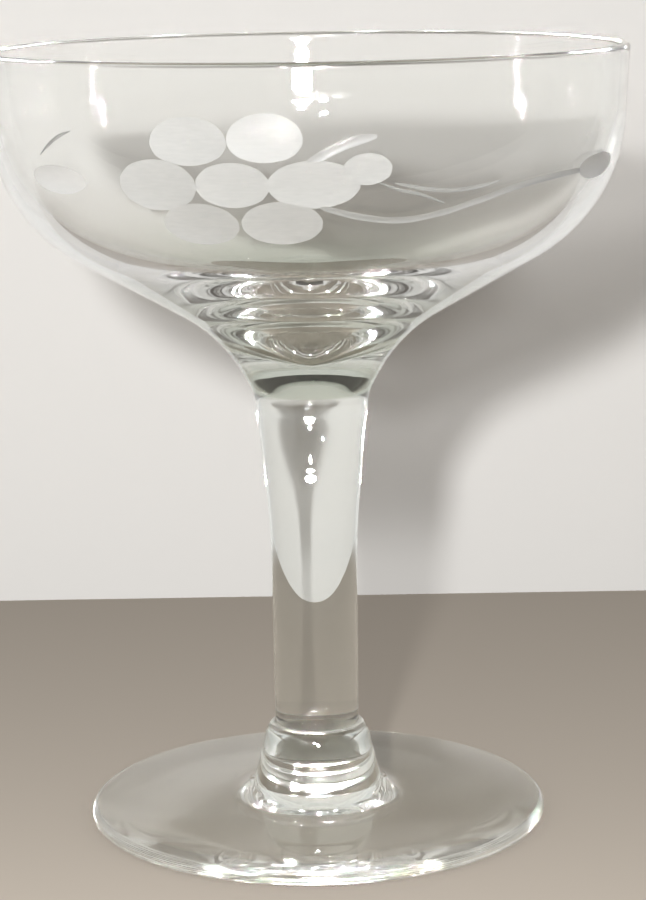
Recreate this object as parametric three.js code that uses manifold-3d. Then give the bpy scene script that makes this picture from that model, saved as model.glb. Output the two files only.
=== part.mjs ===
import * as THREE from 'three';
import { mergeVertices } from 'three/addons/utils/BufferGeometryUtils.js';
import Module from 'manifold-3d';

// A tall sherbet glass: bowl, stem, collar and foot of clear glass, each a gather set on the next one.
// Millimetres and degrees, +Z up. The origin is the centre of the plane that the glass stands on.
// Angles round the bowl count from the front, which is -Y, and grow towards +X.

// Foot
const FOOT_DIAMETER = 71.5;
const FOOT_EDGE_THICKNESS = 2.2;
const FOOT_DOME_THICKNESS = 3.4;
const FOOT_HEIGHT = 5.1;
const FOOT_FILLET = 5;
const HOLLOW_DIAMETER = 54;
const HOLLOW_DEPTH = 0.8;

// Collar
const COLLAR_HEIGHT = 9.6;
const COLLAR_BASE_DIAMETER = 20;
const COLLAR_SHOULDER_DIAMETER = 16.6;
const COLLAR_SHOULDER_DROP = 2.6;

// Stem
const STEM_LENGTH = 52.8;
const STEM_BASE_DIAMETER = 13.1;
const STEM_WAIST_DIAMETER = 13.3;
const STEM_WAIST_HEIGHT = 24;
const STEM_SWELL_START = 12;
const STEM_SWELL_END = 2.5;
const STEM_SHOULDER_DIAMETER = 17.2;
const STEM_FLARE_HEIGHT = 2.8;

// Bowl
const BOWL_HEIGHT = 52.5;
const RIM_DIAMETER = 97;
const RIM_THICKNESS = 1.4;
const WALL_LEAN = 3;
const SHOULDER_HEIGHT = 27.9;
const SHOULDER_RADIUS = 25;
const CONE_SLOPE = 29.7;
const NECK_DIAMETER = 18.2;
const NECK_SLOPE = 62;
const JOINT_BLEND = 0.5;
const NECK_BLEND = 7.5;
const WELL_SLOPE = 25.3;
const WELL_HEIGHT = 7.6;
const WELL_BLEND = 5;

// Grey-cut spray: rows of grapes, and strokes and leaves.
// Their places are [angle, height above the bowl's base].
const GRAPE_HALF_WIDTH = 5.4;
const GRAPE_PITCH = 13.4;
const GRAPE_ROWS = [
  { height: 42, first: -19.6, count: 2, halfHeight: 3.2 },
  { height: 35.7, first: -25.8, count: 3, halfHeight: 3.3 },
  { height: 30.5, first: -18.6, count: 2, halfHeight: 3.2 },
];
const TIP_GRAPE = { at: [10, 38.2], halfWidth: 3.4, halfHeight: 2.2 };
const LEAVES = [
  { at: [-48, 35.8], halfWidth: 5.9, halfHeight: 2.1 },
  { at: [62.5, 35.7], halfWidth: 5.9, halfHeight: 1.9 },
];
const STALK = [[-1, 38.4], [3, 40.2], [7.9, 41.9], [11.5, 42.5]];
const TENDRIL = [[1.8, 33.1], [9.1, 31.4], [16.3, 30.7], [23.6, 31.4], [39.3, 34.5], [57, 35.6]];
const SIDE_TENDRIL = [[12, 36.1], [15.6, 35], [19.2, 34.3], [24.2, 32.8]];
const LEAF_TENDRIL = [[-51.7, 39.2], [-48.3, 41], [-42.7, 42.9]];
const STALK_WIDTH = 1.8;
const TENDRIL_WIDTH = 1.1;
const LENS_DEPTH = 0.15;
const STROKE_DEPTH = 0.25;
const WHEEL_RADIUS = 3;

// Steps of the round surfaces
const TURN_STEPS = 48;
const CURVE_STEPS = 4;
const CUTTER_TURN_STEPS = 16;
const CUTTER_RING_STEPS = 16;
const STROKE_SIDES = 4;
const STROKE_STEP = 3;

const GLASS = { color: 0xf2f5f2, roughness: 0.03, metalness: 0 };

const wasm = await Module();
wasm.setup();

const radians = THREE.MathUtils.degToRad;

// A point of an outline moved by a distance along a slope, in degrees above the horizontal.
function along(point, slope, distance) {
  const turn = radians(slope);
  return new THREE.Vector2(point.x + distance * Math.cos(turn), point.y + distance * Math.sin(turn));
}

// Where the line through a with slope sa meets the line through b with slope sb.
function meeting(a, sa, b, sb) {
  const [ca, na] = [Math.cos(radians(sa)), Math.sin(radians(sa))];
  const [cb, nb] = [Math.cos(radians(sb)), Math.sin(radians(sb))];
  const distance = ((b.x - a.x) * nb - (b.y - a.y) * cb) / (ca * nb - na * cb);
  return along(a, sa, distance);
}

// Turns an outline of radius and height about the vertical axis.
function turned(points) {
  const geometry = new THREE.LatheGeometry(points, TURN_STEPS);
  geometry.rotateX(Math.PI / 2);
  return geometry;
}

function footOutline() {
  const edge = FOOT_EDGE_THICKNESS / 2;
  const seat = COLLAR_BASE_DIAMETER / 2;
  const edgeCentre = FOOT_DIAMETER / 2 - edge;
  const hollow = HOLLOW_DIAMETER / 2;
  const hollowRadius = (hollow ** 2 + HOLLOW_DEPTH ** 2) / (2 * HOLLOW_DEPTH);
  const hollowCentre = HOLLOW_DEPTH - hollowRadius;
  const hollowTurn = Math.asin(hollow / hollowRadius);
  const outline = new THREE.Path();
  outline.absarc(0, hollowCentre, hollowRadius, Math.PI / 2, Math.PI / 2 - hollowTurn, true);
  outline.lineTo(edgeCentre, 0);
  outline.absarc(edgeCentre, edge, edge, -Math.PI / 2, Math.PI / 2, false);
  outline.lineTo(seat + FOOT_FILLET, FOOT_DOME_THICKNESS);
  outline.quadraticCurveTo(seat + FOOT_FILLET / 3, FOOT_DOME_THICKNESS, seat, FOOT_HEIGHT);
  outline.lineTo(0, FOOT_HEIGHT);
  return outline.getPoints(CURVE_STEPS);
}

function collarOutline() {
  const base = COLLAR_BASE_DIAMETER / 2;
  const shoulder = COLLAR_SHOULDER_DIAMETER / 2;
  const shoulderHeight = COLLAR_HEIGHT - COLLAR_SHOULDER_DROP;
  const crown = THREE.MathUtils.mapLinear(COLLAR_HEIGHT, 0, shoulderHeight, base, shoulder);
  const outline = new THREE.Path();
  outline.moveTo(0, 0);
  outline.lineTo(base, 0);
  outline.lineTo(shoulder, shoulderHeight);
  outline.quadraticCurveTo(crown, COLLAR_HEIGHT, STEM_BASE_DIAMETER / 2, COLLAR_HEIGHT);
  outline.lineTo(0, COLLAR_HEIGHT);
  return outline.getPoints(CURVE_STEPS);
}

function stemOutline() {
  const base = STEM_BASE_DIAMETER / 2;
  const waist = STEM_WAIST_DIAMETER / 2;
  const neck = new THREE.Vector2(NECK_DIAMETER / 2, STEM_LENGTH);
  const shoulder = new THREE.Vector2(STEM_SHOULDER_DIAMETER / 2, STEM_LENGTH - STEM_FLARE_HEIGHT);
  const outline = new THREE.Path();
  outline.moveTo(0, 0);
  outline.lineTo(base, 0);
  outline.quadraticCurveTo(waist, STEM_WAIST_HEIGHT / 2, waist, STEM_WAIST_HEIGHT);
  outline.bezierCurveTo(
    waist,
    STEM_WAIST_HEIGHT + STEM_SWELL_START,
    shoulder.x,
    shoulder.y - STEM_SWELL_END,
    shoulder.x,
    shoulder.y,
  );
  outline.quadraticCurveTo(shoulder.x, STEM_LENGTH - STEM_FLARE_HEIGHT / 2, neck.x, neck.y);
  outline.lineTo(0, STEM_LENGTH);
  return outline.getPoints(CURVE_STEPS);
}

// The outside of the bowl from the neck up to the lip: a flared neck, a cone, a round shoulder and a wall.
function bowlOutside() {
  const rim = RIM_DIAMETER / 2;
  const lip = RIM_THICKNESS / 2;
  const turn = 90 - WALL_LEAN - CONE_SLOPE;
  const lean = (BOWL_HEIGHT - SHOULDER_HEIGHT) * Math.tan(radians(WALL_LEAN));
  const corner = new THREE.Vector2(rim - lean, SHOULDER_HEIGHT);
  const reach = SHOULDER_RADIUS * Math.tan(radians(turn / 2));
  const bend = along(along(corner, CONE_SLOPE, -reach), CONE_SLOPE + 90, SHOULDER_RADIUS);
  const neck = new THREE.Vector2(NECK_DIAMETER / 2, 0);
  const widening = (NECK_DIAMETER - STEM_SHOULDER_DIAMETER) / 2;
  const jointSlope = THREE.MathUtils.radToDeg(Math.atan2(STEM_FLARE_HEIGHT / 2, widening));
  const throat = along(neck, jointSlope, JOINT_BLEND);
  const throatEnd = along(throat, NECK_SLOPE, JOINT_BLEND);
  const knee = meeting(throat, NECK_SLOPE, corner, CONE_SLOPE);
  const flare = along(knee, NECK_SLOPE, -NECK_BLEND);
  const cone = along(knee, CONE_SLOPE, NECK_BLEND);
  const outline = new THREE.Path();
  outline.moveTo(neck.x, neck.y);
  outline.quadraticCurveTo(throat.x, throat.y, throatEnd.x, throatEnd.y);
  outline.lineTo(flare.x, flare.y);
  outline.quadraticCurveTo(knee.x, knee.y, cone.x, cone.y);
  outline.absarc(bend.x, bend.y, SHOULDER_RADIUS, radians(CONE_SLOPE - 90), radians(-WALL_LEAN), false);
  outline.lineTo(rim, BOWL_HEIGHT - lip);
  return { points: outline.getPoints(CURVE_STEPS), corner };
}

// The inside of the bowl from the lip down to the middle of the well.
function bowlInside(corner) {
  const lip = RIM_THICKNESS / 2;
  const top = new THREE.Vector2(RIM_DIAMETER / 2 - lip, BOWL_HEIGHT - lip);
  const radius = SHOULDER_RADIUS - RIM_THICKNESS;
  const wall = new THREE.Vector2(top.x - lip, top.y);
  const cone = along(corner, CONE_SLOPE + 90, RIM_THICKNESS);
  const inner = meeting(wall, 90 - WALL_LEAN, cone, WELL_SLOPE);
  const reach = radius * Math.tan(radians((90 - WALL_LEAN - WELL_SLOPE) / 2));
  const bend = along(along(inner, WELL_SLOPE, -reach), WELL_SLOPE + 90, radius);
  const floor = new THREE.Vector2(0, WELL_HEIGHT);
  const knee = meeting(floor, 0, cone, WELL_SLOPE);
  const blend = along(knee, WELL_SLOPE, WELL_BLEND);
  const outline = new THREE.Path();
  outline.absarc(top.x, top.y, lip, 0, Math.PI, false);
  outline.absarc(bend.x, bend.y, radius, radians(-WALL_LEAN), radians(WELL_SLOPE - 90), true);
  outline.lineTo(blend.x, blend.y);
  outline.quadraticCurveTo(knee.x, knee.y, floor.x, floor.y);
  return outline.getPoints(CURVE_STEPS);
}

// A place on the outside of the bowl, with its outward normal and the radius of the wall there.
function onWall(outside, [angle, height]) {
  const above = outside.findIndex((point) => point.y > height);
  const [low, high] = [outside[above - 1], outside[above]];
  const radius = THREE.MathUtils.mapLinear(height, low.y, high.y, low.x, high.x);
  const [side, front] = [Math.sin(radians(angle)), -Math.cos(radians(angle))];
  const slope = new THREE.Vector2(high.y - low.y, low.x - high.x).normalize();
  return {
    point: new THREE.Vector3(radius * side, radius * front, height),
    normal: new THREE.Vector3(slope.x * side, slope.x * front, slope.y),
    radius,
  };
}

// Half the length of a lens-shaped cutter whose face rises by that much at half the width of its bite.
function cutterReach(half, rise) {
  return half / Math.sqrt(1 - (1 - rise / WHEEL_RADIUS) ** 2);
}

// A lens-shaped cutter that bites one oval out of the wall, a little below the chord of the round wall.
function ovalCutter(outside, { at, halfWidth, halfHeight }) {
  const { point, normal, radius } = onWall(outside, at);
  const depth = LENS_DEPTH + halfWidth ** 2 / (2 * radius);
  const fall = halfHeight ** 2 / (2 * SHOULDER_RADIUS);
  const width = cutterReach(halfWidth, LENS_DEPTH);
  const height = cutterReach(halfHeight, depth - fall);
  const across = new THREE.Vector3(0, 0, 1).cross(normal).normalize();
  const upright = across.clone().cross(normal);
  const centre = point.clone().addScaledVector(normal, WHEEL_RADIUS - depth);
  const place = new THREE.Matrix4().makeBasis(across, normal, upright).setPosition(centre);
  place.scale(new THREE.Vector3(width, WHEEL_RADIUS, height));
  return solid(new THREE.SphereGeometry(1, CUTTER_TURN_STEPS, CUTTER_RING_STEPS), place);
}

// A round cutter that runs along the wall and leaves one stroke of the given width.
function strokeCutter(outside, places, width) {
  const radius = (width ** 2 / 4 + STROKE_DEPTH ** 2) / (2 * STROKE_DEPTH);
  const marks = places.map((place) => {
    const { point, normal } = onWall(outside, place);
    return point.addScaledVector(normal, radius - STROKE_DEPTH);
  });
  const route = new THREE.CatmullRomCurve3(marks);
  const section = new THREE.Shape();
  section.absarc(0, 0, radius, 0, 2 * Math.PI, false);
  return solid(new THREE.ExtrudeGeometry(section, {
    steps: Math.ceil(route.getLength() / STROKE_STEP),
    curveSegments: STROKE_SIDES,
    extrudePath: route,
  }));
}

// A closed geometry, put in its place, as a solid: shared corners merged, triangles of no area left out.
function solid(geometry, place = new THREE.Matrix4()) {
  geometry.deleteAttribute('normal');
  geometry.deleteAttribute('uv');
  const merged = mergeVertices(geometry);
  merged.applyMatrix4(place);
  const corners = merged.index.array;
  const triangles = [];
  for (let i = 0; i < corners.length; i += 3) {
    const [a, b, c] = corners.slice(i, i + 3);
    if (a !== b && b !== c && c !== a) triangles.push(a, b, c);
  }
  return new wasm.Manifold(new wasm.Mesh({
    numProp: 3,
    vertProperties: new Float32Array(merged.attributes.position.array),
    triVerts: new Uint32Array(triangles),
  }));
}

function geometryOf(body) {
  const { vertProperties, triVerts } = body.getMesh();
  const geometry = new THREE.BufferGeometry();
  geometry.setAttribute('position', new THREE.BufferAttribute(vertProperties, 3));
  geometry.setIndex(new THREE.BufferAttribute(triVerts, 1));
  geometry.computeVertexNormals();
  return geometry;
}

// Every cutter of the spray.
function sprayCutters(outside) {
  const ovals = [TIP_GRAPE, ...LEAVES];
  for (const { height, first, count, halfHeight } of GRAPE_ROWS) {
    for (let i = 0; i < count; i += 1) {
      ovals.push({ at: [first + i * GRAPE_PITCH, height], halfWidth: GRAPE_HALF_WIDTH, halfHeight });
    }
  }
  const cutters = ovals.map((oval) => ovalCutter(outside, oval));
  cutters.push(strokeCutter(outside, STALK, STALK_WIDTH));
  for (const places of [TENDRIL, SIDE_TENDRIL, LEAF_TENDRIL]) {
    cutters.push(strokeCutter(outside, places, TENDRIL_WIDTH));
  }
  return cutters;
}

function bowlGeometry() {
  const { points, corner } = bowlOutside();
  const base = new THREE.Vector2(0, 0);
  let body = solid(turned([base, ...points, ...bowlInside(corner)]));
  for (const cutter of sprayCutters(points)) body = body.subtract(cutter);
  return geometryOf(body);
}

// Sets one piece of glass with its lower face at the given height.
function piece(name, geometry, height) {
  const mesh = new THREE.Mesh(geometry, new THREE.MeshStandardMaterial(GLASS));
  mesh.name = name;
  mesh.position.z = height;
  return mesh;
}

const glass = new THREE.Group();
glass.add(piece('foot', turned(footOutline()), 0));
glass.add(piece('collar', turned(collarOutline()), FOOT_HEIGHT));
glass.add(piece('stem', turned(stemOutline()), FOOT_HEIGHT + COLLAR_HEIGHT));
glass.add(piece('bowl', bowlGeometry(), FOOT_HEIGHT + COLLAR_HEIGHT + STEM_LENGTH));

export default glass;
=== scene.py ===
import math

import bmesh
import bpy
from mathutils import Matrix, Vector


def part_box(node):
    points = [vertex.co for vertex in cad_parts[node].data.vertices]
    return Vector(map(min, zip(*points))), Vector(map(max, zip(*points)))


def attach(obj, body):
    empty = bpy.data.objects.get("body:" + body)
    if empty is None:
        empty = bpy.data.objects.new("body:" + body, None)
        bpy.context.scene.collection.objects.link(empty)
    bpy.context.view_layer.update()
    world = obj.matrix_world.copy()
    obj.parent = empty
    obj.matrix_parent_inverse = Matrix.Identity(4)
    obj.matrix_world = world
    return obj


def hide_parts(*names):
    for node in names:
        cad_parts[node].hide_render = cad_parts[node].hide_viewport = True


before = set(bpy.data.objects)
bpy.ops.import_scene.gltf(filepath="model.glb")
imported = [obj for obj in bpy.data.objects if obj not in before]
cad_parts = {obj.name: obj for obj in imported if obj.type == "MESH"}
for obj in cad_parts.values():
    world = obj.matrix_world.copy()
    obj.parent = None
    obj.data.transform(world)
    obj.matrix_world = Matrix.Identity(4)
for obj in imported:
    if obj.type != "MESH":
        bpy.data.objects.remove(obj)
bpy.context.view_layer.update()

MM = 0.001

# Sizes that come from the frame
FOOT_RADIUS, FOOT_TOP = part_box("foot")[1].x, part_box("foot")[1].z
COLLAR_RADIUS, COLLAR_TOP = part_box("collar")[1].x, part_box("collar")[1].z
NECK_RADIUS, STEM_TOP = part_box("stem")[1].x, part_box("stem")[1].z
RIM_RADIUS, RIM_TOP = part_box("bowl")[1].x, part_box("bowl")[1].z

# Foot
FOOT_EDGE_THICKNESS = 2.2 * MM
FOOT_DOME_THICKNESS = 3.4 * MM
FOOT_FILLET = 5 * MM
HOLLOW_RADIUS = 27 * MM
HOLLOW_DEPTH = 0.8 * MM

# Collar
COLLAR_SHOULDER_RADIUS = 8.3 * MM
COLLAR_SHOULDER_DROP = 2.6 * MM

# Stem
STEM_BASE_RADIUS = 6.55 * MM
STEM_WAIST_RADIUS = 6.65 * MM
STEM_WAIST_HEIGHT = 24 * MM
STEM_SHOULDER_RADIUS = 8.6 * MM
STEM_SWELL_START = 12 * MM
STEM_SWELL_END = 2.5 * MM
STEM_FLARE_HEIGHT = 2.8 * MM

# Bowl, with slopes in degrees above the horizontal
RIM_THICKNESS = 1.4 * MM
WALL_LEAN = 3
SHOULDER_HEIGHT = 27.9 * MM
SHOULDER_RADIUS = 25 * MM
CONE_SLOPE = 29.7
NECK_SLOPE = 62
JOINT_BLEND = 0.5 * MM
NECK_BLEND = 7.5 * MM
WELL_SLOPE = 25.3
WELL_HEIGHT = 7.6 * MM
WELL_BLEND = 5 * MM

# Clear glass: the solid throat thins into the bowl's wall between two heights, where its tint, partly
# painted shade in the bowl, fades out
GLASS_IOR = 1.52
THIN_TINT = (0.985, 0.99, 0.98, 1)
THROAT_FOOT = 80 * MM
THROAT_TOP = 90 * MM

# Grey-cut spray, with places as (degrees from the front towards +X, height above the bowl's base)
GRAPES = [
    ((-19.6, 41.7 * MM), 5.6 * MM, 3.3 * MM),
    ((-6.7, 42.2 * MM), 5.2 * MM, 3.3 * MM),
    ((-25.8, 35.5 * MM), 5.8 * MM, 3.6 * MM),
    ((-12.4, 35.8 * MM), 5.1 * MM, 3.2 * MM),
    ((1.2, 35.9 * MM), 6.2 * MM, 3.4 * MM),
    ((10, 38.2 * MM), 3.4 * MM, 2.2 * MM),
    ((-19, 30.3 * MM), 5.2 * MM, 3.2 * MM),
    ((-4.4, 30.7 * MM), 5.3 * MM, 3.3 * MM),
]
LEAVES = [
    ((-48, 35.8 * MM), 5.9 * MM, 2.1 * MM),
    ((62.5, 35.7 * MM), 5.9 * MM, 1.9 * MM),
]
STALK = [(-1, 38.4 * MM), (3, 40.2 * MM), (5.4, 41.2 * MM), (7.9, 41.9 * MM), (11.5, 42.5 * MM)]
TENDRILS = [
    [
        (1.8, 33.1 * MM), (9.1, 31.4 * MM), (16.3, 30.7 * MM), (23.6, 31.4 * MM),
        (31.1, 32.9 * MM), (39.3, 34.5 * MM), (49.2, 35.4 * MM), (57, 35.6 * MM),
    ],
    [(12, 36.1 * MM), (15.6, 35 * MM), (19.2, 34.3 * MM), (24.2, 32.8 * MM)],
    [(14.7, 36 * MM), (20.9, 34.9 * MM), (24.7, 34.6 * MM), (30.5, 34.9 * MM), (34.5, 35.5 * MM)],
    [(-51.7, 39.2 * MM), (-48.3, 41 * MM), (-45.4, 42.2 * MM), (-42.7, 42.9 * MM)],
]
STALK_WIDTH = 1.5 * MM
TENDRIL_WIDTHS = [1.1 * MM, 0.5 * MM, 0.65 * MM, 0.5 * MM]
LENS_DEPTH = 0.15 * MM
STROKE_DEPTH = 0.16 * MM
STROKE_TAPER = 0.93
WHEEL_RADIUS = 3 * MM

# Steps of the round surfaces
TURN_STEPS = 240
CURVE_STEPS = 16
LENS_STEPS = 96
STROKE_STEPS = 12
MERGE_DISTANCE = 1e-7
JOINT_MARGIN = 1e-6

# Share of a lamp's light that each face of the glass lets through, by height
LAMP_SHARES = [
    (0, 1.0), (FOOT_TOP, 1.0),
    (FOOT_TOP + JOINT_MARGIN, 0.75), (COLLAR_TOP, 0.75),
    (COLLAR_TOP + JOINT_MARGIN, 0.84), (52 * MM, 0.84),
    (62 * MM, 0.56), (THROAT_FOOT, 0.62),
    (THROAT_TOP, 0.74), (109.5 * MM, 0.74),
    (112.5 * MM, 0.97),
]


def along(point, slope, distance):
    """A point of an outline moved by a distance along a slope."""
    turn = math.radians(slope)
    return point + distance * Vector((math.cos(turn), math.sin(turn)))


def meeting(a, slope_a, b, slope_b):
    """Where the line through a meets the line through b."""
    turn_a, turn_b = math.radians(slope_a), math.radians(slope_b)
    gap = b - a
    across = gap.x * math.sin(turn_b) - gap.y * math.cos(turn_b)
    return along(a, slope_a, across / math.sin(turn_b - turn_a))


def arc(centre, radius, start, end):
    """Points of a round stretch of an outline, between two directions in degrees."""
    step = (end - start) / CURVE_STEPS
    return [along(centre, start + i * step, radius) for i in range(CURVE_STEPS + 1)]


def bend(*points):
    """Points of a smooth curve between the first and last points, drawn towards those between."""
    made = []
    for i in range(CURVE_STEPS + 1):
        left = list(points)
        while len(left) > 1:
            left = [a.lerp(b, i / CURVE_STEPS) for a, b in zip(left, left[1:])]
        made.append(left[0])
    return made


def lift(outline, height):
    """An outline raised to its place in the glass."""
    return [point + Vector((0, height)) for point in outline]


def foot_outline():
    edge = FOOT_EDGE_THICKNESS / 2
    rim = Vector((FOOT_RADIUS - edge, edge))
    seat = Vector((COLLAR_RADIUS, FOOT_TOP))
    radius = (HOLLOW_RADIUS ** 2 + HOLLOW_DEPTH ** 2) / (2 * HOLLOW_DEPTH)
    spread = math.degrees(math.asin(HOLLOW_RADIUS / radius))
    hollow = arc(Vector((0, HOLLOW_DEPTH - radius)), radius, 90, 90 - spread)
    corner = Vector((seat.x, FOOT_DOME_THICKNESS))
    fillet = bend(corner + Vector((FOOT_FILLET, 0)), corner + Vector((FOOT_FILLET / 3, 0)), seat)
    return hollow + arc(rim, edge, -90, 90) + fillet + [Vector((0, FOOT_TOP))]


def collar_outline():
    height = COLLAR_TOP - FOOT_TOP
    base = Vector((COLLAR_RADIUS, 0))
    shoulder = Vector((COLLAR_SHOULDER_RADIUS, height - COLLAR_SHOULDER_DROP))
    top = Vector((STEM_BASE_RADIUS, height))
    crown = base.lerp(shoulder, height / shoulder.y)
    round_top = bend(shoulder, crown, top)
    return lift([Vector((0, 0)), base] + round_top + [Vector((0, height))], FOOT_TOP)


def stem_outline():
    height = STEM_TOP - COLLAR_TOP
    base = Vector((STEM_BASE_RADIUS, 0))
    waist = Vector((STEM_WAIST_RADIUS, STEM_WAIST_HEIGHT))
    shoulder = Vector((STEM_SHOULDER_RADIUS, height - STEM_FLARE_HEIGHT))
    neck = Vector((NECK_RADIUS, height))
    lower = bend(base, Vector((waist.x, waist.y / 2)), waist)
    swell = waist + Vector((0, STEM_SWELL_START))
    upper = bend(waist, swell, shoulder - Vector((0, STEM_SWELL_END)), shoulder)
    flare = bend(shoulder, Vector((shoulder.x, height - STEM_FLARE_HEIGHT / 2)), neck)
    outline = [Vector((0, 0))] + lower + upper[1:] + flare[1:] + [Vector((0, height))]
    return lift(outline, COLLAR_TOP)


def bowl_outside():
    """The outside of the bowl from the neck to the lip, above the bowl's base."""
    height = RIM_TOP - STEM_TOP
    lean = (height - SHOULDER_HEIGHT) * math.tan(math.radians(WALL_LEAN))
    corner = Vector((RIM_RADIUS - lean, SHOULDER_HEIGHT))
    reach = SHOULDER_RADIUS * math.tan(math.radians(90 - WALL_LEAN - CONE_SLOPE) / 2)
    centre = along(along(corner, CONE_SLOPE, -reach), CONE_SLOPE + 90, SHOULDER_RADIUS)
    neck = Vector((NECK_RADIUS, 0))
    joint_slope = math.degrees(math.atan2(STEM_FLARE_HEIGHT / 2, NECK_RADIUS - STEM_SHOULDER_RADIUS))
    throat = along(neck, joint_slope, JOINT_BLEND)
    knee = meeting(throat, NECK_SLOPE, corner, CONE_SLOPE)
    hollow_neck = bend(neck, throat, along(throat, NECK_SLOPE, JOINT_BLEND))
    hollow_neck += bend(along(knee, NECK_SLOPE, -NECK_BLEND), knee, along(knee, CONE_SLOPE, NECK_BLEND))
    shoulder = arc(centre, SHOULDER_RADIUS, CONE_SLOPE - 90, -WALL_LEAN)
    top = Vector((RIM_RADIUS, height - RIM_THICKNESS / 2))
    wall = bend(shoulder[-1], top)
    return hollow_neck + bend(hollow_neck[-1], shoulder[0])[1:-1] + shoulder + wall[1:], corner


def bowl_inside(corner):
    """The inside of the bowl from the lip to the middle of the well."""
    height = RIM_TOP - STEM_TOP
    lip = RIM_THICKNESS / 2
    top = Vector((RIM_RADIUS - lip, height - lip))
    radius = SHOULDER_RADIUS - RIM_THICKNESS
    wall = top - Vector((lip, 0))
    cone = along(corner, CONE_SLOPE + 90, RIM_THICKNESS)
    inner = meeting(wall, 90 - WALL_LEAN, cone, WELL_SLOPE)
    reach = radius * math.tan(math.radians(90 - WALL_LEAN - WELL_SLOPE) / 2)
    centre = along(along(inner, WELL_SLOPE, -reach), WELL_SLOPE + 90, radius)
    middle = Vector((0, WELL_HEIGHT))
    knee = meeting(middle, 0, cone, WELL_SLOPE)
    shoulder = arc(centre, radius, -WALL_LEAN, WELL_SLOPE - 90)
    well = bend(along(knee, WELL_SLOPE, WELL_BLEND), knee, middle)
    down = bend(wall, shoulder[0])[1:-1] + shoulder + bend(shoulder[-1], well[0])[1:-1] + well
    return arc(top, lip, 0, 180)[1:] + down


def at_height(outside, height):
    """The point of the bowl's outline at a height, and the outward normal there."""
    high = next(i for i, point in enumerate(outside) if point.y > height)
    low, top = outside[high - 1], outside[high]
    point = low.lerp(top, (height - low.y) / (top.y - low.y))
    return point, Vector((top.y - low.y, low.x - top.x)).normalized()


def on_wall(outside, place):
    """A place on the outside of the bowl, and its outward normal."""
    angle, height = place
    turn = math.radians(angle)
    side, front = math.sin(turn), -math.cos(turn)
    point, normal = at_height(outside, height)
    place = Vector((point.x * side, point.x * front, STEM_TOP + point.y))
    return place, Vector((normal.x * side, normal.x * front, normal.y))


def wall_drop(outside, height, half_height):
    """How far the wall's curve falls away, on average, above and below a place."""
    point, normal = at_height(outside, height)
    ends = [at_height(outside, height + step)[0] for step in (half_height, -half_height)]
    return sum((point - end).dot(normal) for end in ends) / len(ends)


def node(tree, kind, sockets=None, **settings):
    """A new shader node with its settings, and a value or a link for each socket named."""
    made = tree.nodes.new(kind)
    for name, value in settings.items():
        setattr(made, name, value)
    for name, value in (sockets or {}).items():
        if isinstance(value, bpy.types.NodeSocket):
            tree.links.new(value, made.inputs[name])
        else:
            made.inputs[name].default_value = value
    return made


def new_material(name):
    material = bpy.data.materials.new(name)
    material.use_nodes = True
    material.node_tree.nodes.clear()
    return material, material.node_tree


def hand_worked_group():
    """Slow ripples and faint smears of glass that was shaped hot."""
    group = bpy.data.node_groups.new("hand_worked_surface", "ShaderNodeTree")
    for name, kind in (("Ripple Scale", "Vector"), ("Ripple Height", "Float"), ("Smears", "Float")):
        group.interface.new_socket(name, in_out="INPUT", socket_type="NodeSocket" + kind)
    for name, kind in (("Normal", "Vector"), ("Roughness", "Float")):
        group.interface.new_socket(name, in_out="OUTPUT", socket_type="NodeSocket" + kind)
    given = node(group, "NodeGroupInput").outputs
    place = node(group, "ShaderNodeTexCoord").outputs["Object"]
    stretched = node(group, "ShaderNodeMapping", {"Vector": place, "Scale": given["Ripple Scale"]})
    ripple = node(group, "ShaderNodeTexNoise", {"Vector": stretched.outputs[0], "Scale": 1.0, "Detail": 1.0})
    bump = node(group, "ShaderNodeBump", {
        "Height": ripple.outputs["Fac"], "Strength": 1.0, "Distance": given["Ripple Height"],
    })
    smear = node(group, "ShaderNodeTexNoise", {"Vector": place, "Scale": 90.0, "Detail": 4.0})
    spread = node(group, "ShaderNodeMapRange", {
        "Value": smear.outputs["Fac"], "From Min": 0.5, "From Max": 0.75, "To Max": given["Smears"],
    })
    node(group, "NodeGroupOutput", {"Normal": bump.outputs[0], "Roughness": spread.outputs[0]})
    return group


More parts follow.
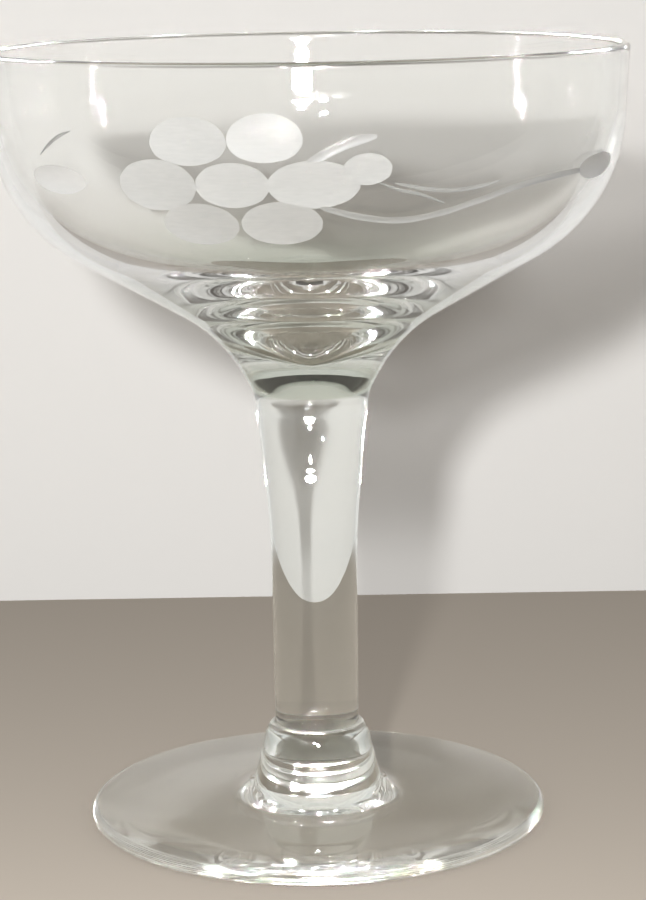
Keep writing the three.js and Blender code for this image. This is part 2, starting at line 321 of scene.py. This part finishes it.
def clear_glass(hand_worked, name, ripple_scale, ripple_height, smears, thick_tint_and_shade):
    """Clear glass with the faint grey-green of an old soda batch, which shows where it is thick. In the
    bowl's throat the tint is deeper than thickness alone gives, and that extra darkening is painted shade.

    Bent and thick glass throws a part of a lamp's light aside, and the straight wall lets nearly all pass.
    """
    material, tree = new_material(name)
    surface = node(tree, "ShaderNodeGroup", {
        "Ripple Scale": ripple_scale, "Ripple Height": ripple_height, "Smears": smears,
    }, node_tree=hand_worked)
    place = node(tree, "ShaderNodeTexCoord").outputs["Object"]
    height = node(tree, "ShaderNodeSeparateXYZ", {0: place}).outputs["Z"]
    thinness = node(tree, "ShaderNodeMapRange", {
        "Value": height, "From Min": THROAT_FOOT, "From Max": THROAT_TOP,
    })
    tint_and_shade = node(tree, "ShaderNodeMix", {
        "Factor": thinness.outputs[0], "A": (*thick_tint_and_shade, 1), "B": THIN_TINT,
    }, data_type="RGBA")
    glass = node(tree, "ShaderNodeBsdfPrincipled", {
        "Base Color": tint_and_shade.outputs["Result"],
        "Metallic": 0.0,
        "Roughness": surface.outputs["Roughness"],
        "Normal": surface.outputs["Normal"],
        "IOR": GLASS_IOR,
        "Transmission Weight": 1.0,
    })
    to_lamp = node(tree, "ShaderNodeLightPath").outputs["Is Shadow Ray"]
    level = node(tree, "ShaderNodeMath", {0: height, 1: RIM_TOP}, operation="DIVIDE")
    passed = node(tree, "ShaderNodeValToRGB", {"Fac": level.outputs[0]})
    stops = passed.color_ramp.elements
    for spot, (at, share) in enumerate(LAMP_SHARES):
        stop = stops[spot] if spot < len(stops) else stops.new(at / RIM_TOP)
        stop.position = at / RIM_TOP
        stop.color = (share, share, share, 1)
    clear = node(tree, "ShaderNodeBsdfTransparent", {"Color": passed.outputs[0]})
    shown = node(tree, "ShaderNodeMixShader", {0: to_lamp, 1: glass.outputs[0], 2: clear.outputs[0]})
    node(tree, "ShaderNodeOutputMaterial", {"Surface": shown.outputs[0]})
    return material


def grey_cut(name, dark, light, fine, coarse, clearness):
    """Ground glass as the cutting wheel leaves it, unpolished. A light touch leaves it clearer."""
    material, tree = new_material(name)
    place = node(tree, "ShaderNodeTexCoord").outputs["Object"]
    along_cut = node(tree, "ShaderNodeMapping", {"Vector": place, "Scale": (500, 500, 2600)})
    scratches = node(tree, "ShaderNodeTexNoise", {
        "Vector": along_cut.outputs[0], "Scale": 1.0, "Detail": 3.0,
    })
    tone = node(tree, "ShaderNodeMix", {
        "Factor": scratches.outputs["Fac"], "A": (*dark, 1), "B": (*light, 1),
    }, data_type="RGBA")
    rough = node(tree, "ShaderNodeMapRange", {
        "Value": scratches.outputs["Fac"], "To Min": fine, "To Max": coarse,
    })
    bump = node(tree, "ShaderNodeBump", {
        "Height": scratches.outputs["Fac"], "Strength": 0.4, "Distance": 0.02 * MM,
    })
    ground = node(tree, "ShaderNodeBsdfPrincipled", {
        "Base Color": tone.outputs["Result"],
        "Metallic": 0.0,
        "Roughness": rough.outputs[0],
        "Normal": bump.outputs[0],
        "IOR": GLASS_IOR,
        "Transmission Weight": clearness,
    })
    node(tree, "ShaderNodeOutputMaterial", {"Surface": ground.outputs[0]})
    return material


def fused_joint():
    """The face where two gathers of hot glass became one: nothing is left to see there."""
    material, tree = new_material("fused_joint")
    clear = node(tree, "ShaderNodeBsdfTransparent", {"Color": (1, 1, 1, 1)})
    node(tree, "ShaderNodeOutputMaterial", {"Surface": clear.outputs[0]})
    return material


def turned(name, outline, joints, materials):
    """A closed piece of glass: its outline turned about the axis, with its joint faces marked."""
    shape = bmesh.new()
    points = [shape.verts.new((point.x, 0, point.y)) for point in outline]
    lines = [shape.edges.new(pair) for pair in zip(points, points[1:])]
    bmesh.ops.spin(shape, geom=points + lines, axis=(0, 0, 1), cent=(0, 0, 0),
                   angle=math.tau, steps=TURN_STEPS, use_merge=True)
    bmesh.ops.remove_doubles(shape, verts=shape.verts, dist=MERGE_DISTANCE)
    bmesh.ops.recalc_face_normals(shape, faces=shape.faces)
    for face in shape.faces:
        face.smooth = True
        heights = [vert.co.z for vert in face.verts]
        if any(max(abs(z - joint) for z in heights) < JOINT_MARGIN for joint in joints):
            face.material_index = 1
    piece = mesh_object(name, shape, materials)
    keep_borders_sharp(piece.data)
    return piece


def put_in_order(shape):
    """Edges and faces in the order of their corners, because a spin makes them in another order each run."""
    shape.verts.index_update()
    for parts in (shape.edges, shape.faces):
        ordered = sorted(parts, key=lambda part: sorted(vert.index for vert in part.verts))
        for place, part in enumerate(ordered):
            part.index = place
        parts.sort()


def mesh_object(name, shape, materials):
    put_in_order(shape)
    mesh = bpy.data.meshes.new(name)
    shape.to_mesh(mesh)
    shape.free()
    for material in materials:
        mesh.materials.append(material)
    made = bpy.data.objects.new(name, mesh)
    bpy.context.scene.collection.objects.link(made)
    return made


def keep_borders_sharp(mesh):
    """A hard edge wherever two finishes meet."""
    shape = bmesh.new()
    shape.from_mesh(mesh)
    for edge in shape.edges:
        edge.smooth = len({face.material_index for face in edge.link_faces}) == 1
    shape.to_mesh(mesh)
    shape.free()


def cutter_reach(half, rise):
    """Half the length of a lens-shaped cutter whose face rises by that much at the bite's edge."""
    return half / math.sqrt(1 - (1 - rise / WHEEL_RADIUS) ** 2)


def oval_cutter(outside, place, half_width, half_height, finish):
    point, normal = on_wall(outside, place)
    radius = point.xy.length
    depth = LENS_DEPTH + half_width ** 2 / (2 * radius)
    rise = depth - wall_drop(outside, place[1], half_height)
    across = Vector((0, 0, 1)).cross(normal).normalized()
    upright = across.cross(normal)
    centre = point + normal * (WHEEL_RADIUS - depth)
    turn = Matrix((across, normal, upright)).transposed().to_4x4()
    reach = (cutter_reach(half_width, LENS_DEPTH), WHEEL_RADIUS, cutter_reach(half_height, rise))
    shape = bmesh.new()
    bmesh.ops.create_uvsphere(
        shape, u_segments=LENS_STEPS, v_segments=LENS_STEPS, radius=1,
        matrix=Matrix.Translation(centre) @ turn @ Matrix.Diagonal((*reach, 1)),
    )
    for face in shape.faces:
        face.smooth = True
    return mesh_object("oval_cutter", shape, [finish])


def stroke_cutter(outside, places, width, finish):
    radius = (width ** 2 / 4 + STROKE_DEPTH ** 2) / (2 * STROKE_DEPTH)
    route = bpy.data.curves.new("stroke", "CURVE")
    route.dimensions = "3D"
    route.bevel_depth = radius
    route.bevel_resolution = STROKE_STEPS
    route.resolution_u = STROKE_STEPS
    route.use_fill_caps = True
    spline = route.splines.new("BEZIER")
    spline.bezier_points.add(len(places) - 1)
    for mark, place in zip(spline.bezier_points, places):
        point, normal = on_wall(outside, place)
        mark.co = point + normal * (radius - STROKE_DEPTH)
        mark.handle_left_type = mark.handle_right_type = "AUTO"
    for end in (spline.bezier_points[0], spline.bezier_points[-1]):
        end.radius = 1 - STROKE_TAPER * STROKE_DEPTH / radius
    line = bpy.data.objects.new("stroke", route)
    bpy.context.scene.collection.objects.link(line)
    shape = bmesh.new()
    shape.from_mesh(bpy.data.meshes.new_from_object(line))
    bpy.data.objects.remove(line)
    bmesh.ops.remove_doubles(shape, verts=shape.verts, dist=MERGE_DISTANCE)
    bmesh.ops.recalc_face_normals(shape, faces=shape.faces)
    for face in shape.faces:
        face.smooth = True
    return mesh_object("stroke_cutter", shape, [finish])


def cut_spray(bowl, outside, ground, faint, stroke):
    """Cuts the grapes, leaves and strokes into the bowl, each face of a cut with its ground finish."""
    cutters = [oval_cutter(outside, *oval, ground) for oval in GRAPES]
    # The leaves get the paler finish, which is partly painted light.
    cutters += [oval_cutter(outside, *oval, faint) for oval in LEAVES]
    cutters.append(stroke_cutter(outside, STALK, STALK_WIDTH, stroke))
    for places, width in zip(TENDRILS, TENDRIL_WIDTHS):
        cutters.append(stroke_cutter(outside, places, width, stroke))
    for cutter in cutters:
        bite = bowl.modifiers.new("bite", "BOOLEAN")
        bite.object = cutter
        bite.operation = "DIFFERENCE"
        bite.solver = "MANIFOLD"
        bite.material_mode = "TRANSFER"
    bitten = bowl.evaluated_get(bpy.context.evaluated_depsgraph_get())
    bowl_mesh = bpy.data.meshes.new_from_object(bitten)
    bowl.modifiers.clear()
    bowl.data = bowl_mesh
    for cutter in cutters:
        bpy.data.objects.remove(cutter)
    keep_borders_sharp(bowl.data)


def build_glass():
    hand_worked = hand_worked_group()
    joint = fused_joint()
    ground = grey_cut("grey_cut", (0.47, 0.48, 0.47), (0.61, 0.61, 0.6), 0.5, 0.75, 0.6)
    # The leaves' finish is paler than the grapes'. This is partly a lighter cut and partly painted light,
    # standing in for light carried through the ground glass.
    faint = grey_cut("faint_cut_painted_light", (0.8, 0.81, 0.8), (0.9, 0.9, 0.89), 0.5, 0.7, 0.55)
    stroke = grey_cut("stroke_cut", (0.4, 0.41, 0.4), (0.52, 0.52, 0.51), 0.4, 0.65, 0.75)
    # The bowl's thick tint (0.64, 0.68, 0.61) is partly grey-green glass and partly painted shade, darker
    # than the thick throat alone would be.
    thin = clear_glass(hand_worked, "bowl_glass", (24, 24, 18), 0.05 * MM, 0.03, (0.64, 0.68, 0.61))
    drawn = clear_glass(hand_worked, "stem_glass", (60, 60, 16), 0.03 * MM, 0.03, (0.93, 0.955, 0.935))
    lump = clear_glass(hand_worked, "collar_glass", (80, 80, 80), 0.08 * MM, 0.03, (0.84, 0.87, 0.82))
    disc = clear_glass(hand_worked, "foot_glass", (40, 40, 40), 0.25 * MM, 0.05, (0.92, 0.94, 0.9))
    outside, corner = bowl_outside()
    bowl_outline = [Vector((0, 0))] + outside + bowl_inside(corner)
    bowl = turned("glass_bowl", lift(bowl_outline, STEM_TOP), [STEM_TOP], [thin, joint])
    cut_spray(bowl, outside, ground, faint, stroke)
    pieces = {
        "foot": turned("glass_foot", foot_outline(), [FOOT_TOP], [disc, joint]),
        "collar": turned("glass_collar", collar_outline(), [FOOT_TOP, COLLAR_TOP], [lump, joint]),
        "stem": turned("glass_stem", stem_outline(), [COLLAR_TOP, STEM_TOP], [drawn, joint]),
        "bowl": bowl,
    }
    for name, piece in pieces.items():
        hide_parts(name)
        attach(piece, "root")


# Stage, in metres, with paper that fades into the pale studio
WALL_DISTANCE = 136 * MM
WALL_HALF_WIDTH = 0.35
WALL_HEIGHT = 0.6
WALL_COLOUR = (0.82, 0.81, 0.79)
FLOOR_HALF_WIDTH = 1.5
FLOOR_GAP = 0.1 * MM
FLOOR_COLOUR = (0.69, 0.61, 0.52)
FADE_CENTRE = (0, 0.05, 0)
FADE_START = 0.14
FADE_END = 0.27
STUDIO_COLOUR = (1, 0.99, 0.97, 1)
FRONT_BRIGHTNESS = 0.8
BACK_BRIGHTNESS = 0.85
CEILING_BRIGHTNESS = 0.08
PAPER_LIGHT = 0.2

# Lamps: width, height, power and place. The glints are only seen in the glass and light no paper.
LAMP_AIM = Vector((0, 0, 80 * MM))
KEY_LAMP = (0.024, 0.024, 2.25, (-0.049, -0.407, 0.187))
GLINTS = {
    "low_glint": (0.06, 0.012, 1.6, (0.014, -0.407, 0.1342)),
    "middle_glint": (0.04, 0.005, 0.45, (0.014, -0.407, 0.1464)),
    "high_glint": (0.012, 0.009, 0.3, (0.014, -0.407, 0.161)),
}


def stage_plane(name, corners, material):
    shape = bmesh.new()
    shape.faces.new([shape.verts.new(corner) for corner in corners])
    plane = mesh_object(name, shape, [material])


def plain_paper(name, colour, one_sided):
    """A plain pale surface that fades into the pale studio far from the glass.

    Where it is one-sided, it is seen from its front alone and throws no light on the floor.
    """
    material, tree = new_material(name)
    place = node(tree, "ShaderNodeTexCoord").outputs["Object"]
    grain = node(tree, "ShaderNodeTexNoise", {"Vector": place, "Scale": 60.0, "Detail": 3.0})
    rough = node(tree, "ShaderNodeMapRange", {
        "Value": grain.outputs["Fac"], "To Min": 0.75, "To Max": 0.95,
    })
    paper = node(tree, "ShaderNodeBsdfPrincipled", {
        "Base Color": (*colour, 1), "Roughness": rough.outputs[0], "Specular IOR Level": 0.0,
    })
    path = node(tree, "ShaderNodeLightPath").outputs
    seen = path["Is Camera Ray"]
    for kind in ("Is Glossy Ray", "Is Transmission Ray"):
        seen = node(tree, "ShaderNodeMath", {0: seen, 1: path[kind]}, operation="MAXIMUM").outputs[0]
    away = node(tree, "ShaderNodeVectorMath", {0: place, 1: FADE_CENTRE}, operation="DISTANCE")
    fade = node(tree, "ShaderNodeMapRange", {
        "Value": away.outputs["Value"], "From Min": FADE_START, "From Max": FADE_END, "To Max": seen,
    }, interpolation_type="SMOOTHSTEP")
    studio = node(tree, "ShaderNodeEmission", {"Color": STUDIO_COLOUR, "Strength": FRONT_BRIGHTNESS})
    shown = node(tree, "ShaderNodeMixShader", {
        0: fade.outputs[0], 1: paper.outputs[0], 2: studio.outputs[0],
    }).outputs[0]
    if one_sided:
        back = node(tree, "ShaderNodeNewGeometry").outputs["Backfacing"]
        hidden = node(tree, "ShaderNodeMath", {0: back, 1: path["Is Diffuse Ray"]}, operation="MAXIMUM")
        clear = node(tree, "ShaderNodeBsdfTransparent")
        shown = node(tree, "ShaderNodeMixShader", {
            0: hidden.outputs[0], 1: shown, 2: clear.outputs[0],
        }).outputs[0]
    node(tree, "ShaderNodeOutputMaterial", {"Surface": shown})
    return material


def lamp(name, width, height, power, place, lights_paper):
    """An oval lamp that faces the glass."""
    data = bpy.data.lights.new(name, "AREA")
    data.shape = "ELLIPSE"
    data.size = width
    data.size_y = height
    data.energy = power
    made = bpy.data.objects.new(name, data)
    made.location = place
    made.rotation_euler = (LAMP_AIM - Vector(place)).to_track_quat("-Z", "Y").to_euler()
    made.visible_camera = False
    made.visible_diffuse = lights_paper
    bpy.context.scene.collection.objects.link(made)


def build_stage():
    side = FLOOR_HALF_WIDTH
    floor = plain_paper("pale_floor", FLOOR_COLOUR, False)
    stage_plane("floor", [(-side, -side, -FLOOR_GAP), (side, -side, -FLOOR_GAP),
                          (side, side, -FLOOR_GAP), (-side, side, -FLOOR_GAP)], floor)
    wall = plain_paper("pale_wall", WALL_COLOUR, True)
    half, back = WALL_HALF_WIDTH, WALL_DISTANCE
    stage_plane("wall", [(-half, back, -FLOOR_GAP), (half, back, -FLOOR_GAP),
                         (half, back, WALL_HEIGHT), (-half, back, WALL_HEIGHT)], wall)
    lamp("key_lamp", *KEY_LAMP, True)
    for name, values in GLINTS.items():
        lamp(name, *values, False)


def build_studio():
    """The pale room round the stage, dark overhead. It lights the paper and the ground cuts evenly."""
    world = bpy.data.worlds.new("studio")
    world.use_nodes = True
    world.node_tree.nodes.clear()
    tree = world.node_tree
    way = node(tree, "ShaderNodeTexCoord").outputs["Generated"]
    parts = node(tree, "ShaderNodeSeparateXYZ", {0: way}).outputs
    back = node(tree, "ShaderNodeMapRange", {
        "Value": parts["Y"], "From Min": -0.9, "From Max": 0.0,
        "To Min": FRONT_BRIGHTNESS, "To Max": BACK_BRIGHTNESS,
    })
    height = node(tree, "ShaderNodeMapRange", {
        "Value": parts["Z"], "From Min": 0.15, "From Max": 0.55,
    }, interpolation_type="SMOOTHSTEP")
    glow = node(tree, "ShaderNodeMix", {
        "Factor": height.outputs[0], "A": back.outputs[0], "B": CEILING_BRIGHTNESS,
    })
    depth = node(tree, "ShaderNodeLightPath").outputs["Diffuse Depth"]
    lit = node(tree, "ShaderNodeMix", {"Factor": depth, "A": glow.outputs[0], "B": PAPER_LIGHT})
    room = node(tree, "ShaderNodeBackground", {"Color": STUDIO_COLOUR, "Strength": lit.outputs[0]})
    node(tree, "ShaderNodeOutputWorld", {"Surface": room.outputs[0]})
    bpy.context.scene.world = world


# Camera at the photograph's place, 646 by 900 in frame
CAMERA_PLACE = (1.62 * MM, -406.65 * MM, 138.9 * MM)
CAMERA_PITCH = 11.26
CAMERA_ROLL = -0.92
CAMERA_LENS = 107.2


def build_camera():
    data = bpy.data.cameras.new("camera")
    data.lens = CAMERA_LENS
    camera = bpy.data.objects.new("camera", data)
    tilt = Matrix.Rotation(math.radians(90 - CAMERA_PITCH), 3, "X")
    roll = Matrix.Rotation(math.radians(CAMERA_ROLL), 3, "Z")
    camera.rotation_euler = (tilt @ roll).to_euler()
    camera.location = CAMERA_PLACE
    bpy.context.scene.collection.objects.link(camera)
    bpy.context.scene.camera = camera


build_camera()
build_glass()
build_stage()
build_studio()

# Light turns about many times inside thick glass, and its glints are not clipped
GLASS_BOUNCES = 64
scene = bpy.context.scene
scene.view_settings.view_transform = "Standard"
scene.cycles.max_bounces = GLASS_BOUNCES
scene.cycles.transmission_bounces = GLASS_BOUNCES
scene.cycles.transparent_max_bounces = GLASS_BOUNCES
scene.cycles.glossy_bounces = GLASS_BOUNCES
scene.cycles.sample_clamp_indirect = 0
scene.cycles.caustics_reflective = False
scene.cycles.caustics_refractive = False
